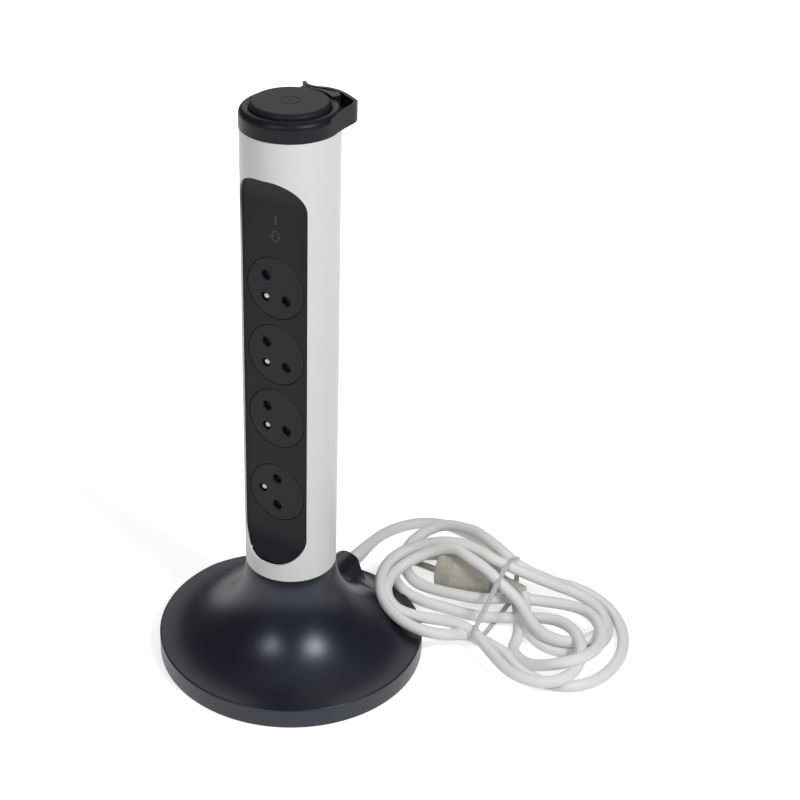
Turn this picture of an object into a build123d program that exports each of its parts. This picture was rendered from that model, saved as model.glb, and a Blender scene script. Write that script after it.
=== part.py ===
from build123d import *
import math
import os

# A four-outlet power tower: a weighted round foot, a white tube with a dark socket panel,
# a push switch and a cord hook on its head, and a mains lead tied in a hank beside it.
# Millimetres. +Z is up, the sockets face -Y, the lead leaves at +Y.
# The origin is on the column's axis, at the surface that the rubber feet stand on.

# Foot
base_radius = 84.6
rim_height = 13.8
rim_edge_radius = 0.8
rim_land = 1.0
base_wall = 2.4
shell_lift = 0.8
plate_thickness = 2.4
plate_gap = 0.4
plate_lift = 1.0
foot_pad_radius = 7.0
foot_pad_thickness = 2.0
foot_pad_inset = 16.6
foot_pad_count = 5
ballast_inner_radius = 34.0
ballast_gap = 5.2
ballast_lift = 0.2
ballast_thickness = 5.6
ballast_slot_width = 66.0
base_screw_circle_radius = 30.0
base_screw_radius = 1.5
base_screw_head_radius = 3.0
base_screw_head_height = 1.8
base_screw_head_edge = 1.0
base_screw_sink = 0.6
base_screw_reach = 14.6
base_boss_radius = 3.6

# Column tube
column_radius = 28.4
column_wall = 1.8
column_bottom = 69.0
column_top = 358.0
collar_wall = 2.0
collar_height = 6.0
neck_depth = 14.0
neck_bore = 20.2
fit_gap = 0.2

# Panel opening in the tube
opening_half_width = 22.5
opening_bottom = 79.6
opening_top = 335.0
opening_corner = 19.0
panel_gap = 0.25
panel_face = -15.6
panel_wall = 2.2
panel_outer_radius = 27.3
ramp_radius = 25.0
ramp_length = 20.0
rail_width = 2.4

# Sockets: centre heights and the direction of the earth pin, seen from the front
socket_heights = (264.1, 220.8, 177.6, 125.2)
earth_directions = (225.0, 225.0, 225.0, 180.0)
disc_radius = 19.2
disc_gap = 0.25
disc_face_thickness = 2.6
disc_skirt_wall = 1.8
disc_depth = 8.4
disc_edge = 0.3
disc_travel = 12.0
sleeve_wall = 1.3
pin_spacing = 19.0
pin_hole_radius = 2.9
earth_offset = 10.0
earth_pin_radius = 2.4
earth_pin_recess = 1.0
shutter_thickness = 1.5
shutter_travel = 6.5
shutter_gap = 0.15
shutter_half_width = 13.0
shutter_tail_half_width = 10.0
shutter_lip = 3.3
shutter_length = 10.6
back_thickness = 2.0
back_hole_radius = 3.1

# Disc springs
disc_spring_radius = 4.05
disc_spring_wire = 0.45
disc_spring_turns = 7
spring_end_gap = 0.1

# Contact carrier and bars
carrier_gap = 0.2
carrier_plate = 2.4
carrier_half_width = 20.8
carrier_low_margin = 8.4
carrier_high_margin = 13.0
chamber_wall = 1.1
clip_outer_radius = 3.2
clip_inner_radius = 2.45
clip_slot = 0.8
clip_length = 9.0
bar_plane = 17.0
bar_thickness = 0.8
bar_rise = 1.4
live_bar_x = -1.0
live_bar_width = 4.0
neutral_bar_width = 5.0
cover_thickness = 2.0
cover_half_width = 13.0
cover_wall = 1.2
cover_low_screw = (-2.2, -30.0)
cover_top_screw = (-9.0, 41.0)
cover_screw_radius = 1.15
cover_screw_head = 2.4
cover_screw_head_height = 1.6
cover_screw_length = 10.0
cover_post_radius = 2.6
earth_bar_width = 7.0
earth_bar_thickness = 1.0
panel_screw_radius = 1.4
panel_screw_head = 2.6
panel_screw_head_height = 1.6
panel_boss_radius = 2.9
panel_screw_side = 18.0
panel_end_screw_side = 16.0
panel_top_screw_rise = 32.0
panel_low_screw_drop = 28.0
panel_screw_length = 11.4
column_screw_circle_radius = 22.6
column_screw_radius = 1.1
column_screw_head = 2.6
column_screw_head_height = 2.0
column_screw_reach = 10.0
screw_gap = 0.05

# Surge protection board and lamp
lamp_rise = 42.5
lamp_slit_width = 1.8
lamp_slit_length = 6.0
board_front = -4.0
board_thickness = 1.6
board_half_width = 12.5
board_below_lamp = 16.6
board_above_lamp = 11.4
varistor_radius = 6.0
varistor_thickness = 4.2
lamp_radius = 1.5

# Head: ring, hook and push switch
ring_radius = 28.6
ring_height = 11.3
shoulder_drop = 0.6
shoulder_edge = 4.0
button_radius = 22.6
button_gap = 0.35
button_stand = 2.7
button_edge = 2.4
button_wall = 1.6
button_travel = 2.5
ledge_inner_radius = 20.8
ledge_thickness = 2.4
ledge_rise = 0.6
spigot_wall = 1.7
spigot_length = 11.0
head_plate_thickness = 2.0
head_boss_circle_radius = 21.6
head_boss_radius = 2.6
icon_radius = 5.4
icon_line = 0.6
icon_depth = 0.25
hook_thickness = 2.2
hook_line = (
    (28.4, -3.5), (29.6, 6.0), (30.5, 13.0), (31.0, 18.5), (29.4, 22.3), (24.2, 25.8), (17.1, 29.6),
    (10.6, 31.4), (3.3, 31.0), (-3.6, 29.2), (-8.2, 30.4), (-10.6, 33.0),
)
hook_root_low = 0.3
hook_rear_low = 3.2
hook_root_top = 9.4
hook_rear_top = 12.6
hook_level_from = 17.0
hook_rear = 36.0
jaw_outline = ((-9.2, 20.0), (-8.6, 25.2), (2.9, 27.0), (13.9, 28.2), (17.4, 24.4), (14.4, 19.0))
jaw_inner_radius = 24.6
jaw_rise = 1.3
switch_length = 21.0
switch_width = 15.0
switch_drop = 7.0
switch_depth = 18.0
switch_flange = 1.6
switch_flange_thickness = 1.4
plunger_rise = 7.0
plunger_root = 3.0
head_screw_radius = 1.1
head_screw_head = 2.2
head_screw_head_height = 1.5
plunger_radius = 2.8
button_post_radius = 4.4
button_spring_radius = 6.4
button_spring_wire = 0.5
button_spring_turns = 5

# Lead outlet in the foot
lead_diameter = 7.6
lead_height = 18.0
spout_radius = 12.0
spout_setback = 14.6
spout_nose = 4.0
gland_radius = 6.0
gland_stand = 6.0
gland_depth = 12.0
gland_tail = 4.0
gland_flange_radius = 8.4
gland_flange_width = 2.4
gland_bore_gap = 0.05
notch_run = 26.6
notch_top = 17.6
notch_floor = 9.6
notch_radius = 84.0
rib_half_width = 30.0
rib_lead = 2.0
rib_bottom = 7.0
clamp_width = 5.0
clamp_half_length = 10.5
clamp_thickness = 3.0
clamp_setback = 20.0
clamp_tail = 6.0
clamp_post_radius = 2.6
clamp_screw_radius = 1.0
clamp_screw_head = 2.3
clamp_screw_head_height = 1.4
clamp_screw_spacing = 15.0
core_diameter = 2.6
wire_passage_half_width = 12.0

# Uncoiled stretch of the lead, from the gland to the hank
lead_route = (
    (0.0, 76.0, 18.0),
    (0.0, 91.5, 17.8),
    (-2.2, 107.0, 14.5),
    (-5.0, 122.5, 9.0),
    (-5.0, 138.0, 5.0),
    (1.8, 152.7, 3.9),
    (13.2, 162.5, 3.9),
    (28.4, 166.6, 3.9),
    (44.5, 164.0, 4.1),
)

# Hank: two loop lobes and the tied waist between them
hank_outline = (
    (100, 66), (118, 54), (150, 41), (176, 44), (191, 62), (193, 92), (184, 120), (164, 138),
    (140, 138), (108, 133), (84, 144), (66, 158), (50, 168), (36, 171), (26, 162), (19, 146),
    (17, 120), (22, 88), (33, 63), (47, 44), (66, 36), (84, 47),
)
hank_top = 24.0
hank_left_top = 28.0
ridge_start = 26.0
ridge_length = 100.0
hank_clearance = 0.4
waist_outline = (
    (-18, 0.9), (-19, 8), (-14, 22), (4, 37), (14, 44), (24, 44), (32, 36), (34, 20), (32, 0.9),
)
tie_x = 104.0
tie_y = 84.5
tie_turn = 16.5
tie_width = 3.6
tie_thickness = 0.8

# Plug, lying in the hank
plug_x = 55.0
plug_y = 107.0
plug_radius = 18.0
plug_grip_radius = 15.0
plug_body_length = 38.0
plug_boot_length = 20.0
plug_boot_radius = 6.5
plug_pin_length = 19.0
plug_pin_radius = 2.4

# Values worked out from those above
floor_level = plate_lift + plate_thickness
flare_centre_radius = base_radius - rim_land
flare_run = flare_centre_radius - column_radius
flare_drop = column_bottom - rim_height
foot_pad_circle_radius = base_radius - foot_pad_inset
ballast_outer_radius = base_radius - base_wall - ballast_gap
spout_mouth = base_radius - spout_setback
gland_reach = spout_mouth + gland_stand
gland_root = spout_mouth - gland_depth
notch_start = base_radius - notch_run
rib_start = notch_start - rib_lead
clamp_position = spout_mouth - clamp_setback
lead_stub_start = clamp_position - clamp_tail
screw_tip_level = floor_level + base_screw_reach
column_inner = column_radius - column_wall
collar_radius = column_inner - fit_gap
ring_bore = button_radius + button_gap
spigot_radius = column_inner - fit_gap
sleeve_bore = disc_radius + disc_gap
sleeve_radius = sleeve_bore + sleeve_wall
disc_rear = panel_face + disc_depth
carrier_bottom = opening_bottom + carrier_low_margin
carrier_top = opening_top - carrier_high_margin
lamp_height = socket_heights[0] + lamp_rise
board_bottom = lamp_height - board_below_lamp
board_top = lamp_height + board_above_lamp
carrier_front = disc_rear + disc_travel + carrier_gap
sleeve_end = carrier_front - carrier_gap
carrier_back = carrier_front + carrier_plate
spring_pocket_radius = disc_spring_radius + disc_spring_wire + 0.4
spring_seat = carrier_front + 7.2
cover_front = bar_plane + bar_thickness + carrier_gap
cover_back = cover_front + cover_thickness
earth_bar_front = cover_back + carrier_gap
chamber_bore = clip_outer_radius + 0.3
chamber_radius = chamber_bore + chamber_wall
cord_radius = lead_diameter / 2
ledge_level = column_top + ledge_rise
shoulder_height = column_top + ring_height
button_top = shoulder_height + button_stand
switch_top = column_top - switch_drop
switch_bottom = switch_top - switch_depth
plate_level = column_top - spigot_length


def rotated(x, y, degrees):
    """Turn a plan point about the column's axis."""
    a = math.radians(degrees)
    return (x * math.cos(a) - y * math.sin(a), x * math.sin(a) + y * math.cos(a))


def upright(radius, low, high, x=0.0, y=0.0):
    """A vertical cylinder between two heights."""
    return Pos(x, y, low) * extrude(Circle(radius), high - low)


def block(x0, x1, y0, y1, z0, z1):
    """A box between two corners."""
    size = Box(x1 - x0, y1 - y0, z1 - z0)
    return Pos((x0 + x1) / 2, (y0 + y1) / 2, (z0 + z1) / 2) * size


def along_y(radius, y0, y1, x=0.0, z=0.0):
    """A cylinder along the front-to-back axis."""
    return Plane(origin=(x, y0, z), x_dir=(1, 0, 0), z_dir=(0, 1, 0)) * extrude(Circle(radius), y1 - y0)


def socket_plane(index):
    """Plane on a socket's face: x along the hole line, y towards the earth pin, z inwards."""
    a = math.radians(earth_directions[index])
    hole_line = (-math.sin(a), 0, math.cos(a))
    return Plane(origin=(0, panel_face, socket_heights[index]), x_dir=hole_line, z_dir=(0, 1, 0))


def socket_point(index, along, towards_earth):
    """World x and z of a point on a socket's face."""
    a = math.radians(earth_directions[index])
    x = -math.sin(a) * along + math.cos(a) * towards_earth
    z = math.cos(a) * along + math.sin(a) * towards_earth
    return x, socket_heights[index] + z


def foot_profile(growth):
    """Half section of the foot between axis and rim, grown outwards by a distance."""
    run = flare_run - growth
    drop = flare_drop - growth
    top = column_bottom
    middle = math.radians(45)
    arc_start = (flare_centre_radius - run, top)
    arc_middle = (flare_centre_radius - run * math.sin(middle), top - drop * math.cos(middle))
    arc_end = (flare_centre_radius, top - drop)
    rim = base_radius + growth
    lines = Polyline((0, 0), (rim, 0), (rim, top - drop), arc_end)
    lines += ThreePointArc(arc_end, arc_middle, arc_start)
    lines += Polyline(arc_start, (0, top), (0, 0))
    return Plane.XZ * make_face(lines)


def foot_solid(growth):
    return revolve(foot_profile(growth), Axis.Z)


def spout_solid(radius, mouth):
    """Rounded tunnel that carries the lead out of the foot."""
    tunnel = along_y(radius, 0, mouth, 0, lead_height)
    return tunnel + block(-radius, radius, 0, mouth, 0, lead_height)


def lead_notch():
    """Shallow dip in the rear of the foot, under the lead."""
    fall = math.atan2(notch_top - notch_floor, base_radius - notch_start)
    line = Plane(
        origin=(0, notch_start, notch_top), x_dir=(1, 0, 0), z_dir=(0, math.cos(fall), -math.sin(fall))
    )
    dip = line * Pos(0, -notch_radius, -10) * extrude(Circle(notch_radius), 60)
    return dip & block(-40, 40, notch_start, base_radius + 10, 0, rim_height + 12)


def base_shell():
    outer = foot_solid(0)
    rim = outer.edges().filter_by(GeomType.CIRCLE).group_by(SortBy.RADIUS)[-1].sort_by(Axis.Z)[-1]
    outer = fillet(rim, rim_edge_radius)
    outer -= lead_notch()
    spout = spout_solid(spout_radius, spout_mouth)
    nose = spout.faces().sort_by(Axis.Y)[-1].edges().filter_by(GeomType.CIRCLE)
    outer += fillet(nose, spout_nose)
    inner = foot_solid(-base_wall)
    inner = inner - block(-200, 200, -200, 200, column_bottom - neck_depth + 2, column_bottom + 20)
    shell = outer - inner
    rib = block(-rib_half_width, rib_half_width, rib_start, base_radius - 1, rib_bottom, column_bottom)
    shell += rib & outer
    shell -= spout_solid(spout_radius - base_wall, spout_mouth - base_wall - gland_flange_width)
    shell -= block(-200, 200, -200, 200, -1, shell_lift)
    neck = upright(column_inner, column_bottom - neck_depth, column_bottom)
    shell += neck
    shell -= upright(neck_bore, column_bottom - neck_depth - 1, column_bottom + 1)
    shell -= wire_passage(column_bottom - neck_depth - 1, column_bottom + 1)
    collar = upright(collar_radius, column_bottom - 1, column_bottom + collar_height)
    shell += collar - upright(collar_radius - collar_wall, column_bottom - 2, column_bottom + 20)
    shell -= along_y(gland_radius + 0.05, gland_root, spout_mouth + 10, 0, lead_height)
    for angle in range(0, 360, 90):
        x, y = rotated(base_screw_circle_radius, 0, angle + 45)
        boss = upright(base_boss_radius, floor_level + 0.1, column_bottom, x, y)
        shell += boss & foot_solid(-base_wall / 2)
    for angle in range(0, 360, 90):
        x, y = rotated(base_screw_circle_radius, 0, angle + 45)
        shell -= upright(base_screw_radius, 0, screw_tip_level + 2, x, y)
    for side in (-1, 1):
        x = side * clamp_screw_spacing / 2
        roof = lead_height + spout_radius - base_wall / 2 - 1.5
        post = upright(clamp_post_radius, lead_height - 1.4, roof, x, clamp_position)
        shell += post & spout_solid(spout_radius - 0.5, spout_mouth - 5)
        shell -= upright(clamp_screw_radius, 0, lead_height + 6, x, clamp_position)
    for angle in (30, 150, 270):
        x, y = rotated(column_screw_circle_radius, 0, angle)
        shell -= upright(1.5, 40, column_bottom + 1, x, y)
    return shell


def wire_passage(low, high):
    """Room for the wires at the back of the neck."""
    half = wire_passage_half_width
    return block(-half, half, 0, collar_radius - collar_wall, low, high)


def base_plate():
    radius = base_radius - base_wall - plate_gap
    plate = upright(radius, plate_lift, floor_level)
    recess = foot_pad_thickness - plate_lift
    for angle in pad_angles():
        x, y = rotated(foot_pad_circle_radius, 0, angle)
        plate -= upright(foot_pad_radius + 0.1, 0, plate_lift + recess, x, y)
    for angle in range(0, 360, 90):
        x, y = rotated(base_screw_circle_radius, 0, angle + 45)
        plate -= upright(base_screw_radius + 0.2, 0, 10, x, y)
        head_top = plate_lift + base_screw_head_height - base_screw_sink
        plate -= upright(base_screw_head_radius + 0.3, 0, head_top, x, y)
    return plate


def pad_angles():
    return [90 + 360 * k / foot_pad_count for k in range(foot_pad_count)]


def rubber_feet():
    pads = []
    for angle in pad_angles():
        x, y = rotated(foot_pad_circle_radius, 0, angle)
        pads.append(upright(foot_pad_radius, 0, foot_pad_thickness, x, y))
    return pads


def base_screws():
    screws = []
    head_top = plate_lift + base_screw_head_height - base_screw_sink
    for angle in range(0, 360, 90):
        x, y = rotated(base_screw_circle_radius, 0, angle + 45)
        head = upright(base_screw_head_radius, head_top - base_screw_head_edge, head_top, x, y)
        shank = upright(base_screw_radius - 0.05, head_top - 0.1, screw_tip_level, x, y)
        screws.append(head + shank)
    return screws


def ballast_ring():
    low = floor_level + ballast_lift
    ring = upright(ballast_outer_radius, low, low + ballast_thickness)
    ring -= upright(ballast_inner_radius, low - 1, low + 20)
    half = ballast_slot_width / 2
    ring -= block(-half, half, ballast_inner_radius - 20, 100, low - 1, low + 20)
    return ring


def cable_gland():
    """Rubber bush round the lead, with a flange behind the spout's wall."""
    gland = along_y(gland_radius, gland_root - gland_tail, gland_reach, 0, lead_height)
    gland = fillet(gland.edges().sort_by(Axis.Y)[-1], 1.0)
    flange_front = spout_mouth - base_wall - gland_flange_width
    gland += along_y(gland_flange_radius, flange_front - gland_flange_width, flange_front, 0, lead_height)
    return gland - along_y(cord_radius + gland_bore_gap, 0, 100, 0, lead_height)


def cord_clamp():
    top = lead_height - cord_radius - 0.02
    low = top - clamp_thickness
    y0 = clamp_position - clamp_width / 2
    bar = block(-clamp_half_length, clamp_half_length, y0, y0 + clamp_width, low, top + 1.6)
    bar -= along_y(cord_radius + 0.02, 0, 100, 0, lead_height)
    for side in (-1, 1):
        bar -= upright(1.3, 0, 40, side * clamp_screw_spacing / 2, clamp_position)
    return bar


def clamp_screws():
    screws = []
    under = lead_height - cord_radius - 0.02 - clamp_thickness
    for side in (-1, 1):
        x = side * clamp_screw_spacing / 2
        head = upright(clamp_screw_head, under - clamp_screw_head_height, under, x, clamp_position)
        shank = upright(clamp_screw_radius - 0.05, under - 0.1, lead_height + 5.5, x, clamp_position)
        screws.append(head + shank)
    return screws


def lead_stub():
    return along_y(cord_radius, lead_stub_start, lead_route[0][1], 0, lead_height)


def rounded_window(half_width, low, high, corner, y0, y1):
    """A rounded upright rectangle, extruded from front to back."""
    height = high - low
    outline = RectangleRounded(2 * half_width, height, corner)
    plane = Plane(origin=(0, y0, (low + high) / 2), x_dir=(1, 0, 0), z_dir=(0, 1, 0))
    return plane * extrude(outline, y1 - y0)


def column_shell():
    tube = upright(column_radius, column_bottom, column_top)
    tube -= upright(column_inner, column_bottom - 1, column_top + 1)
    window = rounded_window(
        opening_half_width, opening_bottom, opening_top, opening_corner, -column_radius - 1, 0
    )
    return tube - window


def ramp_region(depth):
    """Everything behind the panel's face, moved inwards by a depth."""
    face = panel_face + depth
    low = opening_bottom + ramp_length
    high = opening_top - ramp_length
    rise = ramp_radius - math.sqrt(ramp_radius ** 2 - ramp_length ** 2)
    half = math.asin(ramp_length / ramp_radius) / 2
    side = ramp_radius * math.sin(half)
    inset = ramp_radius - ramp_radius * math.cos(half)
    back = column_radius + 5
    top_arc = ThreePointArc(
        (face, high), (face - inset, high + side), (face - rise, high + ramp_length)
    )
    bottom_arc = ThreePointArc(
        (face - rise, low - ramp_length), (face - inset, low - side), (face, low)
    )
    outline = Line((face, low), (face, high)) + top_arc
    outline += Polyline(
        (face - rise, high + ramp_length), (face - rise, high + 40), (back, high + 40),
        (back, low - 40), (face - rise, low - 40), (face - rise, low - ramp_length)
    )
    outline += bottom_arc
    plane = Plane(origin=(-40, 0, 0), x_dir=(0, 1, 0), z_dir=(1, 0, 0))
    return plane * extrude(make_face(outline), 80)


def panel_screw_places():
    between = [
        (socket_heights[k] + socket_heights[k + 1]) / 2 for k in range(len(socket_heights) - 1)
    ]
    rows = [(panel_screw_side, z) for z in between]
    rows.append((panel_end_screw_side, socket_heights[0] + panel_top_screw_rise))
    rows.append((panel_end_screw_side, socket_heights[-1] - panel_low_screw_drop))
    return [(side * x, z) for x, z in rows for side in (-1, 1)]


def socket_panel():
    window = rounded_window(
        opening_half_width - panel_gap, opening_bottom + panel_gap, opening_top - panel_gap,
        opening_corner - panel_gap, -column_radius, -12.9
    )
    skin = upright(panel_outer_radius, opening_bottom - 5, opening_top + 5) & window
    skin = skin & ramp_region(0)
    hollow = upright(panel_outer_radius - panel_wall, opening_bottom - 6, opening_top + 6)
    panel = skin - (hollow & ramp_region(panel_wall))
    rail_outer = opening_half_width + 0.3
    for side in (-1, 1):
        x0, x1 = sorted((side * (rail_outer - rail_width), side * rail_outer))
        panel += block(x0, x1, -13.6, -11.6, opening_bottom + 24, opening_top - 24)
    for z in socket_heights:
        panel += along_y(sleeve_radius, panel_face + 0.5, sleeve_end, 0, z)
    for x, z in panel_screw_places():
        panel += along_y(panel_boss_radius, panel_face + 1, carrier_front - 0.05, x, z)
    for z in socket_heights:
        panel -= along_y(sleeve_bore, panel_face - 20, sleeve_end + 1, 0, z)
    for x, z in panel_screw_places():
        tip = carrier_back - panel_screw_length - 2
        panel -= along_y(panel_screw_radius - screw_gap, tip, carrier_front + 1, x, z)
    half = lamp_slit_width / 2
    z0 = lamp_height - lamp_slit_length / 2
    panel -= block(-half, half, panel_face - 5, panel_face + 5, z0, z0 + lamp_slit_length)
    return panel


def socket_disc(index):
    """Sprung round face with the pin holes, flush with the panel at rest."""
    disc = extrude(Circle(disc_radius), disc_depth)
    disc -= Pos(0, 0, disc_face_thickness) * extrude(Circle(disc_radius - disc_skirt_wall), disc_depth)
    rim = disc.edges().filter_by(GeomType.CIRCLE).group_by(Axis.Z)[0]
    disc = chamfer(rim, disc_edge)
    rail_x = shutter_half_width + fit_gap
    rail_height = shutter_thickness + 2 * shutter_gap - 0.05
    for side in (-1, 1):
        rail = Box(1.0, 14.0, rail_height, align=(Align.CENTER, Align.CENTER, Align.MIN))
        disc += Pos(side * (rail_x + 0.5), -2.5, disc_face_thickness) * rail
    for side in (-1, 1):
        hole = Cone(pin_hole_radius + 0.6, pin_hole_radius, 0.6)
        x = side * pin_spacing / 2
        disc -= Pos(x, 0, 0.3) * hole
        disc -= Pos(x, 0, -1) * extrude(Circle(pin_hole_radius), 10)
    disc -= Pos(0, earth_offset, -1) * extrude(Circle(pin_hole_radius), 10)
    return socket_plane(index) * disc


def shutter(index):
    """Sliding plate that closes both live holes until a plug pushes it aside."""
    top = shutter_lip
    waist = shutter_lip - shutter_length + 3.9
    low = shutter_lip - shutter_length
    outline = Polyline(
        (-shutter_half_width, top), (shutter_half_width, top), (shutter_half_width, waist),
        (shutter_tail_half_width, low), (-shutter_tail_half_width, low), (-shutter_half_width, waist),
        (-shutter_half_width, top)
    )
    plate = extrude(make_face(outline), shutter_thickness)
    return socket_plane(index) * Pos(0, 0, disc_face_thickness + shutter_gap) * plate


def disc_back(index):
    """Cover clipped into the disc from behind, with the post that centres the spring."""
    start = disc_face_thickness + shutter_thickness + 2 * shutter_gap
    back = Pos(0, 0, start) * extrude(Circle(disc_radius - disc_skirt_wall - 0.05), back_thickness)
    post_radius = disc_spring_radius - disc_spring_wire - 0.3
    back += Pos(0, 0, start) * extrude(Circle(post_radius), back_thickness + 2.4)
    for side in (-1, 1):
        back -= Pos(side * pin_spacing / 2, 0, 0) * extrude(Circle(back_hole_radius), 20)
    back -= Pos(0, earth_offset, 0) * extrude(Circle(back_hole_radius), 20)
    return socket_plane(index) * back


def disc_spring(index):
    start = disc_face_thickness + shutter_thickness + 2 * shutter_gap + back_thickness
    start = panel_face + start + disc_spring_wire + spring_end_gap
    length = spring_seat - disc_spring_wire - spring_end_gap - start
    coil = Helix(length / disc_spring_turns, length, disc_spring_radius)
    plane = Plane(origin=coil @ 0, z_dir=coil % 0)
    wire = sweep(plane * Circle(disc_spring_wire), path=coil)
    base = Plane(origin=(0, start, socket_heights[index]), x_dir=(1, 0, 0), z_dir=(0, 1, 0))
    return base * wire


def earth_pin(index):
    x, z = socket_point(index, 0, earth_offset)
    tip = panel_face + earth_pin_recess
    pin = along_y(earth_pin_radius, tip, earth_bar_front, x, z)
    pin = fillet(pin.edges().sort_by(Axis.Y)[0], earth_pin_radius * 0.6)
    return pin + along_y(1.2, earth_bar_front - 1, earth_bar_front + earth_bar_thickness + 0.5, x, z)


def clip_places(side):
    return [socket_point(k, side * pin_spacing / 2, 0) for k in range(len(socket_heights))]


def contact_carrier():
    """Moulded floor of the sockets, with chambers for the contact clips and spring pockets."""
    body = block(
        -carrier_half_width, carrier_half_width, carrier_front, carrier_back,
        carrier_bottom, carrier_top
    )
    for z in socket_heights:
        body += along_y(spring_pocket_radius + chamber_wall, carrier_front, spring_seat + 1.2, 0, z)
    chamber_end = bar_plane - carrier_gap
    for x, z in clip_places(-1) + clip_places(1):
        body += along_y(chamber_radius, carrier_front, chamber_end, x, z)
    for z in socket_heights:
        body -= along_y(spring_pocket_radius, carrier_front - 1, spring_seat, 0, z)
    for x, z in clip_places(-1) + clip_places(1):
        body -= along_y(pin_hole_radius + 0.1, carrier_front - 1, carrier_back, x, z)
        body -= along_y(chamber_bore, carrier_back - 0.6, chamber_end + 1, x, z)
    for k in range(len(socket_heights)):
        x, z = socket_point(k, 0, earth_offset)
        body -= along_y(earth_pin_radius + 0.1, carrier_front - 1, cover_back, x, z)
    for x, z in panel_screw_places():
        body -= along_y(panel_screw_radius + 0.2, carrier_front - 1, carrier_back + 1, x, z)
    for side in (-1, 1):
        for z in (board_bottom + 3, board_top - 3):
            post_end = board_front + board_thickness + 0.05
            body += along_y(1.8, post_end, carrier_front + 1, side * 10.5, z)
    for x, z in cover_screw_places():
        body += along_y(cover_post_radius, carrier_back - 1, cover_front - 0.05, x, z)
        body -= along_y(cover_screw_radius, carrier_back + 2, cover_front + 1, x, z)
    foot = upright(collar_radius - collar_wall - 0.4, column_bottom + 0.1, carrier_bottom + 1)
    foot -= upright(collar_radius - collar_wall - 7.0, column_bottom - 1, carrier_bottom + 5)
    foot = foot & block(-column_radius, column_radius, carrier_front, column_radius, 0, opening_top)
    body += foot - wire_passage(0, carrier_bottom + 2)
    for angle in (30, 150):
        x, y = rotated(column_screw_circle_radius, 0, angle)
        body -= upright(column_screw_radius, column_bottom - 1, column_bottom + column_screw_reach + 2, x, y)
    return body


def cover_screw_places():
    low_x, low_rise = cover_low_screw
    top_x, top_rise = cover_top_screw
    return [(low_x, socket_heights[-1] + low_rise), (top_x, socket_heights[0] + top_rise)]


def carrier_cover():
    cover = block(
        -cover_half_width, cover_half_width, cover_front, cover_back, carrier_bottom + 3, carrier_top
    )
    for side in (-1, 1):
        x0, x1 = sorted((side * (cover_half_width - cover_wall), side * cover_half_width))
        cover += block(x0, x1, carrier_back + 0.1, cover_back, carrier_bottom + 3, carrier_top)
    for k in range(len(socket_heights)):
        x, z = socket_point(k, 0, earth_offset)
        cover -= along_y(earth_pin_radius + 0.1, 0, cover_back + 1, x, z)
    for x, z in cover_screw_places():
        cover -= along_y(cover_screw_radius + 0.35, 0, cover_back + 1, x, z)
    return cover


def cover_screws():
    screws = []
    for x, z in cover_screw_places():
        head = along_y(cover_screw_head, cover_back, cover_back + cover_screw_head_height, x, z)
        tip = cover_back - cover_screw_length
        screws.append(head + along_y(cover_screw_radius - screw_gap, tip, cover_back + 0.5, x, z))
    return screws


def panel_screws():
    screws = []
    for x, z in panel_screw_places():
        head = along_y(panel_screw_head, carrier_back, carrier_back + panel_screw_head_height, x, z)
        tip = carrier_back - panel_screw_length
        screws.append(head + along_y(panel_screw_radius - 0.1, tip, carrier_back + 0.5, x, z))
    return screws


def column_screws():
    screws = []
    for angle in (30, 150):
        x, y = rotated(column_screw_circle_radius, 0, angle)
        under = column_bottom - neck_depth
        head = upright(column_screw_head, under - column_screw_head_height, under, x, y)
        tip = column_bottom + column_screw_reach
        screws.append(head + upright(column_screw_radius - screw_gap, under - 0.5, tip, x, y))
    return screws


def clip_tube(x, z):
    tube = along_y(clip_outer_radius, bar_plane - clip_length, bar_plane + 0.2, x, z)
    tube -= along_y(clip_inner_radius, 0, bar_plane - 0.2, x, z)
    half = clip_slot / 2
    end = bar_plane - 2.0
    tube -= block(x - half, x + half, 0, end, z - 5, z + 5)
    tube -= block(x - 5, x + 5, 0, end, z - half, z + half)
    return tube


def live_bar():
    half = live_bar_width / 2
    places = live_places()
    low = places[-1][1]
    bar = block(
        live_bar_x - half, live_bar_x + half, bar_plane, bar_plane + bar_thickness,
        low - 3, carrier_top + bar_rise
    )
    for x, z in places:
        x0 = min(x - clip_outer_radius, live_bar_x)
        x1 = max(x + clip_outer_radius, live_bar_x)
        bar += block(x0, x1, bar_plane, bar_plane + bar_thickness, z - 3.2, z + 3.2)
        bar += clip_tube(x, z)
    return bar


def upper_side(index):
    """Which end of the hole line is the higher one."""
    return -1 if socket_point(index, -1, 0)[1] > socket_point(index, 1, 0)[1] else 1


def live_places():
    return [
        socket_point(k, upper_side(k) * pin_spacing / 2, 0) for k in range(len(socket_heights))
    ]


def neutral_places():
    return [
        socket_point(k, -upper_side(k) * pin_spacing / 2, 0) for k in range(len(socket_heights))
    ]


def neutral_bar():
    places = neutral_places()
    centre = places[0][0]
    half = neutral_bar_width / 2
    bar = block(
        centre - half, centre + half, bar_plane, bar_plane + bar_thickness,
        places[-1][1] - 3, carrier_top + bar_rise
    )
    for x, z in places:
        x0 = min(x - clip_outer_radius, centre)
        x1 = max(x + clip_outer_radius, centre)
        bar += block(x0, x1, bar_plane, bar_plane + bar_thickness, z - 3.2, z + 3.2)
        bar += clip_tube(x, z)
    return bar


def earth_bar():
    places = [socket_point(k, 0, earth_offset) for k in range(len(socket_heights))]
    centre = (places[0][0] + places[-1][0]) / 2
    half = earth_bar_width / 2 + 0.5
    bar = block(
        centre - half, centre + half, earth_bar_front, earth_bar_front + earth_bar_thickness,
        places[-1][1] - 14, places[0][1] + 6
    )
    for x, z in places:
        bar -= along_y(1.2, earth_bar_front - 1, earth_bar_front + 5, x, z)
    return bar


def surge_board():
    board = block(
        -board_half_width, board_half_width, board_front, board_front + board_thickness,
        board_bottom, board_top
    )
    return board


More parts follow.
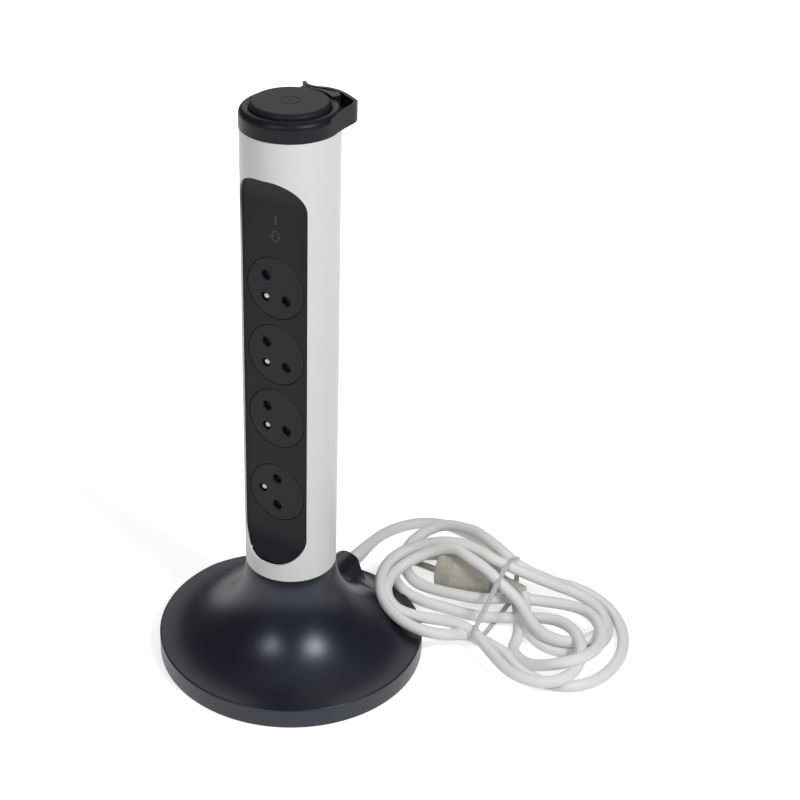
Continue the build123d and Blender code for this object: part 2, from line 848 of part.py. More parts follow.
def varistors():
    back = board_front + board_thickness
    return [
        along_y(varistor_radius, back, back + varistor_thickness, x, board_bottom + 10)
        for x in (-6.2, 6.2)
    ]


def indicator_lamp():
    lamp = along_y(lamp_radius, board_front - 4.2, board_front, 0, lamp_height)
    return fillet(lamp.edges().sort_by(Axis.Y)[0], 0.9)


def light_guide():
    half = lamp_slit_width / 2 - 0.05
    z0 = lamp_height - lamp_slit_length / 2 + 0.05
    z1 = lamp_height + lamp_slit_length / 2 - 0.05
    guide = block(-half, half, panel_face + 0.2, panel_face + 5.4, z0, z1)
    inside = panel_face + panel_wall
    flange = block(-half - 1.2, half + 1.2, inside, inside + 1.2, z0 - 1, z1 + 1)
    return guide + flange


def inset(points, distance):
    """The same line of plan points, moved sideways towards the column."""
    moved = []
    for k, (x, y) in enumerate(points):
        x0, y0 = points[max(k - 1, 0)]
        x1, y1 = points[min(k + 1, len(points) - 1)]
        run = math.hypot(x1 - x0, y1 - y0)
        moved.append((x - (y1 - y0) / run * distance, y + (x1 - x0) / run * distance))
    return moved


def hook_strap():
    """Flat strap that leaves the ring's side, turns round behind it and ends in a flared tip."""
    outer = list(hook_line)
    inner = inset(outer, hook_thickness)
    plan = Spline(*outer) + Line(outer[-1], inner[-1]) + Spline(*reversed(inner)) + Line(inner[0], outer[0])
    strap = Pos(0, 0, column_top) * extrude(make_face(plan), hook_rear_top)
    start = hook_line[0][1] - hook_thickness
    side = Polyline(
        (start, column_top + hook_root_low), (hook_rear, column_top + hook_rear_low),
        (hook_rear, column_top + hook_rear_top), (hook_level_from, column_top + hook_rear_top),
        (start, column_top + hook_root_top), (start, column_top + hook_root_low)
    )
    plane = Plane(origin=(-hook_rear, 0, 0), x_dir=(0, 1, 0), z_dir=(1, 0, 0))
    return strap & (plane * extrude(make_face(side), 2 * hook_rear))


def jaw():
    """Raised wall on the ring's rear that the strap's tip closes against."""
    outline = make_face(Polyline(*jaw_outline, jaw_outline[0]))
    low = column_top + hook_rear_low
    wall = Pos(0, 0, low) * extrude(outline, shoulder_height + jaw_rise - low)
    wall = wall - upright(jaw_inner_radius, low - 1, button_top + 1)
    rim = wall.edges().filter_by(Axis.Z, reverse=True).group_by(Axis.Z)[-1]
    return fillet(rim, 0.4)


def head_ring():
    """Dark ring on the tube's top, with the cord hook moulded on its side."""
    ring = upright(ring_radius, column_top, shoulder_height)
    ring = fillet(ring.edges().filter_by(GeomType.CIRCLE).sort_by(Axis.Z)[-1], shoulder_edge)
    ring += hook_strap() - upright(ring_radius - 1, column_top - 1, button_top + 1)
    ring += jaw()
    spigot = upright(spigot_radius, column_top - spigot_length, column_top + 0.5)
    ring += spigot - upright(spigot_radius - spigot_wall, 0, column_top + 0.2)
    for angle in (90, 210, 330):
        x, y = rotated(head_boss_circle_radius, 0, angle)
        boss = upright(head_boss_radius, column_top - spigot_length, ledge_level, x, y)
        ring += boss & upright(spigot_radius, 0, 500)
    ring -= upright(ring_bore, ledge_level + ledge_thickness, 500)
    slope = Cone(ring_bore + 0.01, ring_radius - shoulder_edge, shoulder_drop)
    ring -= Pos(0, 0, shoulder_height - shoulder_drop / 2) * slope
    bore = upright(ledge_inner_radius, column_top - 0.5, 500)
    for angle in (90, 210, 330):
        x, y = rotated(head_boss_circle_radius, 0, angle)
        bore -= upright(head_boss_radius, 0, ledge_level + ledge_thickness, x, y)
    ring -= bore
    for angle in (90, 210, 330):
        x, y = rotated(head_boss_circle_radius, 0, angle)
        ring -= upright(head_screw_radius, column_top - spigot_length - 1, column_top - 1, x, y)
    return ring


def head_plate():
    """Plate under the ring that carries the switch."""
    top = plate_level
    plate = upright(spigot_radius - 0.2, top - head_plate_thickness, top)
    half_l = switch_length / 2 + 0.1
    half_w = switch_width / 2 + 0.1
    plate -= block(-half_l, half_l, -half_w, half_w, plate_level - 10, column_top)
    for angle in (90, 210, 330):
        x, y = rotated(head_boss_circle_radius, 0, angle)
        plate -= upright(head_screw_radius + 0.3, plate_level - 10, column_top, x, y)
    return plate


def head_screws():
    screws = []
    under = plate_level - head_plate_thickness
    for angle in (90, 210, 330):
        x, y = rotated(head_boss_circle_radius, 0, angle)
        head = upright(head_screw_head, under - head_screw_head_height, under, x, y)
        screws.append(head + upright(head_screw_radius - screw_gap, under - 0.2, column_top - 2, x, y))
    return screws


def switch_body():
    half_l = switch_length / 2
    half_w = switch_width / 2
    body = block(-half_l, half_l, -half_w, half_w, switch_bottom, switch_top)
    body += block(
        -half_l - switch_flange, half_l + switch_flange, -half_w - switch_flange, half_w + switch_flange,
        plate_level, plate_level + switch_flange_thickness
    )
    body -= upright(plunger_radius + 0.1, switch_top - 6, switch_top + 1)
    return body


def switch_plunger():
    return upright(plunger_radius, switch_top - plunger_root, switch_top + plunger_rise)


def power_button():
    """Round push button that fills the ring, with a shallow icon groove."""
    low = ledge_level + ledge_thickness + button_travel + 0.1
    button = upright(button_radius, low, button_top)
    button = fillet(button.edges().filter_by(GeomType.CIRCLE).sort_by(Axis.Z)[-1], button_edge)
    button -= upright(button_radius - button_wall, 0, button_top - 2.6)
    button += upright(button_post_radius, switch_top + plunger_rise, button_top - 2)
    for angle in (30, 150, 270):
        hook = block(16.6, 18.8, -2.5, 2.5, ledge_level - 2.2, button_top - 2)
        hook += block(18.7, 20.0, -2.5, 2.5, ledge_level - 2.2, ledge_level - 0.1)
        button += Rot(0, 0, angle) * hook
    groove = upright(icon_radius, button_top - icon_depth, button_top + 1)
    groove -= upright(icon_radius - icon_line, 0, 500)
    groove += block(-icon_line / 2, icon_line / 2, -1.6, 1.6, button_top - icon_depth, button_top + 1)
    return button - groove


def button_spring():
    start = switch_top + button_spring_wire + spring_end_gap
    length = button_top - 2.6 - button_spring_wire - spring_end_gap - start
    coil = Helix(length / button_spring_turns, length, button_spring_radius)
    plane = Plane(origin=coil @ 0, z_dir=coil % 0)
    return Pos(0, 0, start) * sweep(plane * Circle(button_spring_wire), path=coil)


def core_wires():
    """Insulated conductors from the lead up the back of the column."""
    riser = cover_back + core_diameter / 2 + 0.3
    start = lead_stub_start
    wires = []
    low = lead_height + 12
    crossing = carrier_top + 6
    for x, y_end, spread in ((3.0, 0.0, 0.4), (7.0, 0.0, 2.4)):
        lead_x = 0.6 * x - 1.6
        route = [(lead_x, start, lead_height), (lead_x, start - 8, lead_height), (x, riser + 2, low)]
        route += [(x, riser, low + 20), (x, riser, crossing), (x - 4 - spread, y_end, crossing)]
        route += [(x - 4 - spread, y_end, switch_bottom)]
        wires.append(tube(route, core_diameter, core_diameter))
    height = socket_heights[-1] - 14
    route = [(-2.6, start, lead_height), (-2.6, start - 8, lead_height), (-7.4, riser + 2, low)]
    route += [(-7.4, riser, low + 20), (-7.4, riser, height)]
    wires.append(tube(route, core_diameter, core_diameter))
    bar_y = bar_plane + bar_thickness / 2
    jumper = carrier_top + 3
    for x, x_end in ((live_bar_x, -7.5), (neutral_places()[0][0], 8.0)):
        route = [(x, bar_y, carrier_top + bar_rise), (x, bar_y, jumper), (x_end, -4, jumper)]
        route += [(x_end, -4, switch_bottom)]
        wires.append(tube(route, core_diameter, 0.9))
    return wires


def tube(route, diameter, bend):
    """A round tube along straight runs joined by arcs of one radius."""
    path = FilletPolyline(*route, radius=bend)
    plane = Plane(origin=path @ 0, z_dir=path % 0)
    return sweep(plane * Circle(diameter / 2), path=path)


def corner_radii(route):
    """One arc radius for each corner: 0.45 of the shorter run over the tangent of half the turn."""
    points = [Vector(*p) for p in route]
    radii = []
    for a, b, c in zip(points, points[1:], points[2:]):
        turn = math.radians((b - a).get_angle(c - b))
        shorter = min((b - a).length, (c - b).length)
        radii.append(0.45 * shorter / math.tan(turn / 2))
    return radii


def cord_tube(hank):
    radii = corner_radii(lead_route)
    print("cord arc radii:", [round(r, 1) for r in radii])
    path = FilletPolyline(*lead_route, radius=radii)
    plane = Plane(origin=path @ 0, z_dir=path % 0)
    cord = sweep(plane * Circle(cord_radius), path=path)
    expected = math.pi * cord_radius ** 2 * path.length
    print("cord tube volume", round(cord.volume, 1), "section times length", round(expected, 1))
    print("cord tube length", round(path.length, 1))
    return cord - hank


def hank_envelope():
    """Outer shape of the tied loops before anything is cleared from it."""
    outline = make_face(Spline(*hank_outline, hank_outline[0], periodic=False))
    lobes = extrude(outline, hank_top)
    over_rim = block(10, tie_x - 14, 30, 90, 2, hank_left_top) & extrude(outline, hank_left_top)
    ridge_radius = plug_radius + lead_diameter + 1.4
    plane = Plane(origin=(ridge_start, plug_y, plug_radius), x_dir=(0, 1, 0), z_dir=(1, 0, 0))
    ridge = plane * extrude(Circle(ridge_radius), ridge_length)
    ridge = ridge & block(0, 200, 60, 160, 0, 60)
    return lobes + over_rim + ridge


def tie_plane():
    """Upright plane of the tie: local x runs rearwards across the bundle, local y is up."""
    t = math.radians(tie_turn)
    across = (math.sin(t), math.cos(t), 0)
    return Plane(origin=(tie_x, tie_y, 0), x_dir=across, z_dir=(math.cos(t), -math.sin(t), 0))


def waist_face(growth):
    face = make_face(Polyline(*waist_outline, waist_outline[0]))
    if growth > 0:
        face = offset(face, growth, kind=Kind.ARC)
    return face


def cord_hank():
    hank = hank_envelope()
    hank -= foot_solid(hank_clearance)
    hank -= plug_room()
    groove = tie_plane() * Pos(0, 0, -tie_width / 2 - 0.1) * extrude(
        Rectangle(300, 300) - waist_face(0), tie_width + 0.2
    )
    return hank - groove


def plug_room():
    """Space under the hank that the plug lies in."""
    r = plug_radius + hank_clearance
    start = plug_x - plug_pin_length - 1
    length = plug_pin_length + plug_body_length + plug_boot_length + 1
    low = Plane(origin=(start, plug_y, plug_radius), x_dir=(0, 1, 0), z_dir=(1, 0, 0))
    room = low * extrude(Circle(r), length)
    return room + block(start, start + length, plug_y - r, plug_y + r, -1, plug_radius)


def lying(radius, x0, x1, radius_end=None):
    """A cylinder or cone of the plug, along its axis."""
    end = radius if radius_end is None else radius_end
    plane = Plane(origin=(x0, plug_y, plug_radius), x_dir=(0, 1, 0), z_dir=(1, 0, 0))
    cone = Cone(radius, end + 1e-4, x1 - x0, align=(Align.CENTER, Align.CENTER, Align.MIN))
    return plane * cone


def plug_body():
    grip_end = plug_x + plug_body_length
    body = lying(plug_radius, plug_x, plug_x + 12)
    body += lying(plug_radius, plug_x + 12, grip_end, plug_grip_radius * 0.8)
    body = fillet(body.edges().filter_by(GeomType.CIRCLE).sort_by(Axis.X)[0], 1.2)
    body -= lying_hole(0, earth_offset, 2.6, 16)
    for side in (-1, 1):
        body -= lying_hole(side * pin_spacing / 2, 0, plug_pin_radius, 5)
    return body


def lying_hole(across, up, radius, depth):
    plane = Plane(
        origin=(plug_x - 1, plug_y + across, plug_radius + up), x_dir=(0, 1, 0), z_dir=(1, 0, 0)
    )
    return plane * extrude(Circle(radius), depth + 1)


def plug_pins():
    pins = []
    for side in (-1, 1):
        plane = Plane(
            origin=(plug_x - plug_pin_length, plug_y + side * pin_spacing / 2, plug_radius),
            x_dir=(0, 1, 0), z_dir=(1, 0, 0)
        )
        pin = plane * extrude(Circle(plug_pin_radius), plug_pin_length + 5)
        pins.append(fillet(pin.edges().sort_by(Axis.X)[0], 1.4))
    return pins


def plug_boot():
    start = plug_x + plug_body_length
    boot = lying(plug_boot_radius, start, start + plug_boot_length, cord_radius + 0.6)
    return boot


def cord_tie():
    """Clear strap round the waist of the hank."""
    ring = extrude(waist_face(tie_thickness) - waist_face(0), tie_width)
    return tie_plane() * Pos(0, 0, -tie_width / 2) * ring


def write(name, shape):
    """One STEP file for each node; a list becomes a group of separate solids."""
    if isinstance(shape, (list, tuple)):
        solids = [s for item in shape for s in item.solids()]
    else:
        solids = list(shape.solids())
    result = solids[0] if len(solids) == 1 else Compound(children=solids)
    result.label = name
    export_step(result, os.path.join("parts", name + ".step"))


def build():
    os.makedirs("parts", exist_ok=True)
    hank = cord_hank()
    nodes = {
        "base_shell": base_shell(),
        "base_plate": base_plate(),
        "ballast_ring": ballast_ring(),
        "rubber_feet": rubber_feet(),
        "base_screws": base_screws(),
        "cable_gland": cable_gland(),
        "cord_clamp": cord_clamp(),
        "clamp_screws": clamp_screws(),
        "lead_stub": lead_stub(),
        "column_shell": column_shell(),
        "socket_panel": socket_panel(),
        "contact_carrier": contact_carrier(),
        "carrier_cover": carrier_cover(),
        "cover_screws": cover_screws(),
        "panel_screws": panel_screws(),
        "column_screws": column_screws(),
        "live_bar": live_bar(),
        "neutral_bar": neutral_bar(),
        "earth_bar": earth_bar(),
        "surge_board": surge_board(),
        "varistors": varistors(),
        "indicator_lamp": indicator_lamp(),
        "light_guide": light_guide(),
        "head_ring": head_ring(),
        "head_plate": head_plate(),
        "head_screws": head_screws(),
        "switch_body": switch_body(),
        "switch_plunger": switch_plunger(),
        "power_button": power_button(),
        "button_spring": button_spring(),
        "core_wires": core_wires(),
        "cord_hank": hank,
        "cord_tube": cord_tube(hank),
        "cord_tie": cord_tie(),
        "plug_body": plug_body(),
        "plug_pins": plug_pins(),
        "plug_boot": plug_boot(),
    }
    for k in range(len(socket_heights)):
        nodes[f"socket_disc_{k + 1}"] = socket_disc(k)
        nodes[f"shutter_{k + 1}"] = shutter(k)
        nodes[f"disc_back_{k + 1}"] = disc_back(k)
        nodes[f"disc_spring_{k + 1}"] = disc_spring(k)
        nodes[f"earth_pin_{k + 1}"] = earth_pin(k)
    for name, shape in nodes.items():
        write(name, shape)


build()
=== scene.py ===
"""Looks of an upright power strip: round foot, white column with four sockets, push switch, tied lead."""
import math

import bmesh
import bpy
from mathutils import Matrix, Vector


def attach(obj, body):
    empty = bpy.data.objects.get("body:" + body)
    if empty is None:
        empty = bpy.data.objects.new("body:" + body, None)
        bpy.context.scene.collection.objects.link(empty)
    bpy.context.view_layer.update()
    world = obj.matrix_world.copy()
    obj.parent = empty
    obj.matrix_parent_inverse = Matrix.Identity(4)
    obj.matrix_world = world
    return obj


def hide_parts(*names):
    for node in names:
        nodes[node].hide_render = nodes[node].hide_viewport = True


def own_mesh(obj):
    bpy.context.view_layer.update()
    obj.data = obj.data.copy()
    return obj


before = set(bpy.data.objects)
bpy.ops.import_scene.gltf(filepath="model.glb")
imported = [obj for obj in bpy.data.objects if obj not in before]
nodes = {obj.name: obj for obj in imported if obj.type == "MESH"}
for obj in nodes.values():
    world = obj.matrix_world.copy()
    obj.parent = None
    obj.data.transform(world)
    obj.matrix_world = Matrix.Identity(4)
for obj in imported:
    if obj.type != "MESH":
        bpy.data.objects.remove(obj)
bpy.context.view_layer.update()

# Camera
# The photograph looks down at the tower from its front right, with a long lens held well above it.
# The strip stands left of the middle of the frame, so the lens is shifted and not turned.
lens_length = 80.24
sensor_width = 36.0
sideways_shift = 0.1366
camera_place = (0.4972, -0.7674, 0.7284)
camera_turn = (59.164, 0.0945, 32.8836)
camera_data = bpy.data.cameras.new("photo_camera")
camera_data.lens = lens_length
camera_data.sensor_width = sensor_width
camera_data.shift_x = sideways_shift
camera_data.clip_start = 0.05
camera_data.clip_end = 20.0
camera = bpy.data.objects.new("photo_camera", camera_data)
camera.location = camera_place
camera.rotation_euler = [math.radians(angle) for angle in camera_turn]
bpy.context.scene.collection.objects.link(camera)
bpy.context.scene.camera = camera
bpy.context.scene.view_settings.view_transform = "Standard"

# Floor and backdrop
# White studio paper that runs on past the picture. It shows white to the eye and in reflections,
# and keeps the soft shadow that the strip and its lead lay on it.
glow_near = 0.60
glow_far = 1.0
shadow_reach = 0.34
clear_reach = 0.75
floor_half = 3.0
paper_white = 0.93
paper_roughness = 0.9
paper_gloss = 0.1
room_strength = 0.11
backdrop_strength = 1.0
floor_corners = [(-floor_half, -floor_half, 0), (floor_half, -floor_half, 0),
                 (floor_half, floor_half, 0), (-floor_half, floor_half, 0)]
floor_mesh = bpy.data.meshes.new("floor")
floor_mesh.from_pydata(floor_corners, [], [(0, 1, 2, 3)])
floor = bpy.data.objects.new("floor", floor_mesh)
bpy.context.scene.collection.objects.link(floor)
paper = bpy.data.materials.new("studio_paper")
paper.use_nodes = True
paper_tree = paper.node_tree
paper_shader = paper_tree.nodes["Principled BSDF"]
paper_shader.inputs["Base Color"].default_value = (paper_white, paper_white, paper_white, 1)
paper_shader.inputs["Roughness"].default_value = paper_roughness
paper_shader.inputs["Specular IOR Level"].default_value = paper_gloss
paper_ray = paper_tree.nodes.new("ShaderNodeLightPath")
eye_or_gloss = paper_tree.nodes.new("ShaderNodeMath")
eye_or_gloss.operation = "MAXIMUM"
seen_rays = paper_tree.nodes.new("ShaderNodeMath")
seen_rays.operation = "MAXIMUM"
lift = paper_tree.nodes.new("ShaderNodeMath")
lift.operation = "MULTIPLY"
spot = paper_tree.nodes.new("ShaderNodeTexCoord")
away = paper_tree.nodes.new("ShaderNodeVectorMath")
away.operation = "LENGTH"
fade = paper_tree.nodes.new("ShaderNodeMapRange")
fade.interpolation_type = "SMOOTHSTEP"
fade.inputs["From Min"].default_value = shadow_reach
fade.inputs["From Max"].default_value = clear_reach
fade.inputs["To Min"].default_value = glow_near
fade.inputs["To Max"].default_value = glow_far
paper_tree.links.new(spot.outputs["Object"], away.inputs[0])
paper_tree.links.new(away.outputs["Value"], fade.inputs["Value"])
paper_tree.links.new(fade.outputs["Result"], lift.inputs[1])
glow = paper_tree.nodes.new("ShaderNodeEmission")
paper_sum = paper_tree.nodes.new("ShaderNodeAddShader")
paper_tree.links.new(paper_ray.outputs["Is Camera Ray"], eye_or_gloss.inputs[0])
paper_tree.links.new(paper_ray.outputs["Is Glossy Ray"], eye_or_gloss.inputs[1])
paper_tree.links.new(eye_or_gloss.outputs[0], seen_rays.inputs[0])
paper_tree.links.new(paper_ray.outputs["Is Transmission Ray"], seen_rays.inputs[1])
paper_tree.links.new(seen_rays.outputs[0], lift.inputs[0])
paper_tree.links.new(lift.outputs[0], glow.inputs["Strength"])
paper_tree.links.new(paper_shader.outputs[0], paper_sum.inputs[0])
paper_tree.links.new(glow.outputs[0], paper_sum.inputs[1])
paper_tree.links.new(paper_sum.outputs[0], paper_tree.nodes["Material Output"].inputs["Surface"])
floor_mesh.materials.append(paper)

world = bpy.data.worlds.new("studio")
world.use_nodes = True
world_nodes = world.node_tree.nodes
world_links = world.node_tree.links
room_light = world_nodes["Background"]
room_light.inputs["Color"].default_value = (1.0, 1.0, 1.0, 1)
room_light.inputs["Strength"].default_value = room_strength
seen_backdrop = world_nodes.new("ShaderNodeBackground")
seen_backdrop.inputs["Color"].default_value = (1.0, 1.0, 1.0, 1)
seen_backdrop.inputs["Strength"].default_value = backdrop_strength
ray = world_nodes.new("ShaderNodeLightPath")
pick = world_nodes.new("ShaderNodeMixShader")
world_links.new(ray.outputs["Is Camera Ray"], pick.inputs[0])
world_links.new(room_light.outputs[0], pick.inputs[1])
world_links.new(seen_backdrop.outputs[0], pick.inputs[2])
world_links.new(pick.outputs[0], world_nodes["World Output"].inputs["Surface"])
bpy.context.scene.world = world


# Lamps
# Two studio softboxes stand either side of the camera and leave the two soft glows on the foot.
# A wide dim one hangs overhead, and a pale panel behind is mirrored in the faces that look up.
lamp_aim = Vector((0.02, -0.03, 0.05))


def softbox(name, azimuth, elevation, distance, size, power):
    """A round softbox that looks at the tower's lower half from this direction."""
    turn = math.radians(azimuth)
    rise = math.radians(elevation)
    level = math.cos(rise)
    place = Vector((level * math.cos(turn), level * math.sin(turn), math.sin(rise))) * distance
    data = bpy.data.lights.new(name, "AREA")
    data.shape = "DISK"
    data.size = size
    data.energy = power
    lamp = bpy.data.objects.new(name, data)
    lamp.location = place + lamp_aim
    lamp.rotation_euler = (-place).to_track_quat("-Z", "Y").to_euler()
    bpy.context.scene.collection.objects.link(lamp)


softbox("right_softbox", azimuth=-14.2, elevation=47.4, distance=1.5, size=0.40, power=10.8)
softbox("left_softbox", azimuth=-93.4, elevation=46.2, distance=1.5, size=0.34, power=4.6)
softbox("top_softbox", azimuth=60.0, elevation=80.0, distance=1.6, size=1.5, power=1.9)
softbox("rear_panel", azimuth=123.0, elevation=34.0, distance=1.5, size=1.1, power=3.0)


# Lead
# A white three-core lead of 7.6 mm with a smooth soft sheath leaves the foot's spout, bends down to
# the table and runs into a hank of loose loops of different sizes. Its whole length is seen.
cloud_scale = 34.0
cloud_detail = 4.0
cloud_dark_end = 0.3
cloud_pale_end = 0.7
grain_detail = 2.0
shine_spread = 0.07
coat_roughness = 0.15


def moulded(name, colour, roughness, grain=0.0004, depth=0.06, mottle=0.04, specular=0.5, coat=0.0):
    """A moulded plastic: a fine spark-eroded grain, a little cloudiness in colour and shine."""
    material = bpy.data.materials.new(name)
    material.use_nodes = True
    tree = material.node_tree
    shader = tree.nodes["Principled BSDF"]
    shader.inputs["Specular IOR Level"].default_value = specular
    shader.inputs["Coat Weight"].default_value = coat
    shader.inputs["Coat Roughness"].default_value = coat_roughness
    place = tree.nodes.new("ShaderNodeTexCoord")
    cloud = tree.nodes.new("ShaderNodeTexNoise")
    cloud.inputs["Scale"].default_value = cloud_scale
    cloud.inputs["Detail"].default_value = cloud_detail
    tree.links.new(place.outputs["Object"], cloud.inputs["Vector"])
    tint = tree.nodes.new("ShaderNodeValToRGB")
    tint.color_ramp.elements[0].position = cloud_dark_end
    tint.color_ramp.elements[0].color = [part * (1 - mottle) for part in colour] + [1]
    tint.color_ramp.elements[1].position = cloud_pale_end
    tint.color_ramp.elements[1].color = [min(1.0, part * (1 + mottle)) for part in colour] + [1]
    tree.links.new(cloud.outputs["Fac"], tint.inputs["Fac"])
    tree.links.new(tint.outputs["Color"], shader.inputs["Base Color"])
    speck = tree.nodes.new("ShaderNodeTexNoise")
    speck.inputs["Scale"].default_value = 1.0 / grain
    speck.inputs["Detail"].default_value = grain_detail
    tree.links.new(place.outputs["Object"], speck.inputs["Vector"])
    shine = tree.nodes.new("ShaderNodeMapRange")
    shine.inputs["To Min"].default_value = roughness - shine_spread
    shine.inputs["To Max"].default_value = roughness + shine_spread
    tree.links.new(speck.outputs["Fac"], shine.inputs["Value"])
    tree.links.new(shine.outputs["Result"], shader.inputs["Roughness"])
    bump = tree.nodes.new("ShaderNodeBump")
    bump.inputs["Strength"].default_value = depth
    bump.inputs["Distance"].default_value = grain
    tree.links.new(speck.outputs["Fac"], bump.inputs["Height"])
    tree.links.new(bump.outputs["Normal"], shader.inputs["Normal"])
    return material


lead_diameter = 0.0076
lead_exit = (0.0, 0.076, 0.018)
lead_route = [
    lead_exit,
    (0.0, 0.0915, 0.0178),
    (-0.0022, 0.107, 0.0145),
    (-0.005, 0.1225, 0.009),
    (-0.005, 0.138, 0.005),
    (0.0018, 0.1527, 0.0039),
    (0.0132, 0.1625, 0.0039),
    (0.0284, 0.1666, 0.0039),
    (0.0445, 0.164, 0.0041),
]
rise_to_tie = [(0.057, 0.1585, 0.006), (0.068, 0.1495, 0.010), (0.080, 0.140, 0.013), (0.093, 0.132, 0.015)]
# The hank, loop by loop, in millimetres and degrees: where a loop's middle lies, how long and wide it is,
# how its long axis is turned, from which angle to which the lead runs round it, how high it lies on the way,
# and the points that lead on to the next loop.
hank_loops = [
    dict(middle=(150, 95), half_length=49, half_width=37, turn=-71, first=205, last=-42,
         heights=(13, 8, 4, 4, 4, 4, 4, 4, 4, 4), onward=[(124, 60, 4), (111, 62, 5)]),
    dict(middle=(61, 70), half_length=41, half_width=30, turn=-46, first=34, last=-228,
         heights=(11, 18, 19.6, 20.6, 21.2, 22, 24, 29, 38), onward=[(78, 106, 40), (95, 102, 38.5)]),
    dict(middle=(146, 104), half_length=24, half_width=24, turn=0, first=140, last=-130,
         heights=(22, 15, 12, 12, 12, 12, 12, 14),
         onward=[(116, 94, 21), (104, 92, 30), (92, 93, 37), (78, 94.5, 40)]),
    dict(middle=(61, 71), half_length=28, half_width=27, turn=-46, first=129, last=312,
         heights=(40, 33, 27, 23, 20.6, 20, 19.5, 19), onward=[(97, 60, 16)]),
    dict(middle=(142, 66), half_length=34, half_width=28, turn=-46, first=-88, last=172,
         heights=(13, 12, 12, 12, 14, 17, 13, 8), onward=[(96, 84, 5), (80, 81, 4.5)]),
    dict(middle=(51, 104), half_length=31, half_width=30, turn=0, first=-100, last=-268,
         heights=(8, 11, 9, 5, 4, 4),
         onward=[(62, 134, 4), (78, 133, 4), (93, 127, 4), (105, 115, 4), (115, 98, 4), (124, 80, 4)]),
    dict(middle=(148, 84), half_length=34, half_width=28, turn=-58, first=-80, last=140,
         heights=(4, 6, 13, 20, 20, 16, 19, 16, 15),
         onward=[(107, 101.5, 15), (93, 89, 15.5), (78, 85.5, 14.5)]),
    dict(middle=(54, 113), half_length=30, half_width=29, turn=0, first=-104, last=-236,
         heights=(11, 13, 16, 19, 22, 26),
         onward=[(58, 137, 30), (73, 128, 34), (90, 120, 34), (105, 116, 29)]),
    dict(middle=(145, 106), half_length=27, half_width=27, turn=0, first=125, last=-140,
         heights=(17, 8, 4, 4, 4, 4, 8), onward=[(120, 97, 14), (114.5, 105.5, 18)]),
]
widest_step = 33
fewest_points = 6


def loop_points(middle, half_length, half_width, turn, first, last, heights, onward):
    """Control points of one loop, set a little outside it, because the curve runs inside them."""
    count = max(fewest_points, int(abs(last - first) / widest_step) + 1)
    outward = 1 / math.cos(math.radians(abs(last - first) / (count - 1)) / 2)
    lean = math.radians(turn)
    points = []
    for step in range(count):
        share = step / (count - 1)
        angle = math.radians(first + (last - first) * share)
        along = half_length * outward * math.cos(angle)
        across = half_width * outward * math.sin(angle)
        spot = share * (len(heights) - 1)
        below = min(int(spot), len(heights) - 2)
        height = heights[below] + (heights[below + 1] - heights[below]) * (spot - below)
        points.append(Vector((
            middle[0] + along * math.cos(lean) - across * math.sin(lean),
            middle[1] + along * math.sin(lean) + across * math.cos(lean),
            height)) / 1000)
    return points + [Vector(point) / 1000 for point in onward]


lead_points = [Vector(point) for point in lead_route + rise_to_tie]
for loop in hank_loops:
    lead_points += loop_points(**loop)

lead_curve = bpy.data.curves.new("lead", "CURVE")
lead_curve.dimensions = "3D"
lead_curve.bevel_depth = lead_diameter / 2
lead_curve.bevel_resolution = 5
lead_curve.resolution_u = 10
lead_curve.use_fill_caps = True
lead_spline = lead_curve.splines.new("NURBS")
lead_spline.points.add(len(lead_points) - 1)
for control, place in zip(lead_spline.points, lead_points):
    control.co = (*place, 1.0)
lead_spline.order_u = 3
lead_spline.use_endpoint_u = True
lead = bpy.data.objects.new("lead", lead_curve)
bpy.context.scene.collection.objects.link(lead)
jacket = moulded("lead_jacket", colour=(0.86, 0.86, 0.85), roughness=0.42, grain=0.0006, depth=0.05,
                 mottle=0.015, specular=0.4)
lead_curve.materials.append(jacket)
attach(lead, "tower")
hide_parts("cord_tube", "cord_hank")


def dress(material, *names):
    """Gives CAD nodes a material through their own slots."""
    for name in names:
        node = nodes[name]
        if not node.material_slots:
            node.data.materials.append(material)
        for slot in node.material_slots:
            slot.material = material


dress(jacket, "lead_stub")

# Strain relief
# A soft white sleeve, moulded onto the lead where it leaves the gland, thins out over 32 mm.
# It is swept along the lead's own line, so that it bends with it.
sleeve_length = 0.032
sleeve_thick = 0.0049
sleeve_thin = 0.00392
sleeve_sides = 28
sleeve_rings = 24


